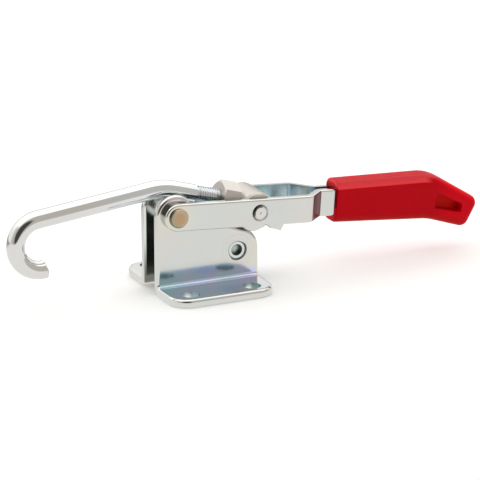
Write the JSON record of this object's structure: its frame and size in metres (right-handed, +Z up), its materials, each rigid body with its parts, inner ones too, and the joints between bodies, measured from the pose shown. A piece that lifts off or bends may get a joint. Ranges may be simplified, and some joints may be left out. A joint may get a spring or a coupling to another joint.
{
  "type": "over centre toggle latch",
  "caption": "Pull-action over centre toggle latch: a lever with a red moulded grip draws a bent, threaded hook bar through a pivoting trunnion between folded flanged brackets.",
  "frame": {"origin": "centre of the bolt pattern, on the underside of the flanges", "axes": "+X along the pull, from the hook towards the grip; +Z up from the mounting face; Y = 0 is the middle plane"},
  "size_m": [0.2409, 0.064, 0.0528],
  "materials": {
    "bracket_steel": "bright zinc plate, satin",
    "lever_steel": "bright zinc plate, smooth",
    "hook_steel": "bright zinc plate, polished",
    "turned_steel": "dull turned steel",
    "pin_steel": "copper-tan passivated steel, dull",
    "rivet_steel": "zinc plated, rolled lips",
    "grip_plastic": "moulded red plastic, half gloss"
  },
  "bodies": {
    "base": {"near_side_plate": "bracket_steel", "far_side_plate": "bracket_steel", "pivot_sleeve": "turned_steel", "tie_spacer": "bracket_steel", "tie_rivet": "rivet_steel", "near_washer": "turned_steel", "far_washer": "turned_steel"},
    "handle": {"near_handle_plate": "lever_steel", "far_handle_plate": "lever_steel", "pivot_pin": "pin_steel", "front_tang_rivet": "rivet_steel", "rear_tang_rivet": "rivet_steel", "grip": "grip_plastic"},
    "hook": {"trunnion": "turned_steel", "lock_nut": "turned_steel", "draw_hook": "hook_steel"}
  },
  "joints": [
    {"name": "handle_hinge", "type": "hinge", "parent": "base", "child": "handle", "pos_m": [-0.0163, 0, 0.0375], "axis": [0, -1, 0], "range_deg": [0, 135]},
    {"name": "hook_hinge", "type": "hinge", "parent": "handle", "child": "hook", "pos_m": [0.02511, 0, 0.03482], "axis": [0, 1, 0], "range_deg": [0, 145]}
  ]
}
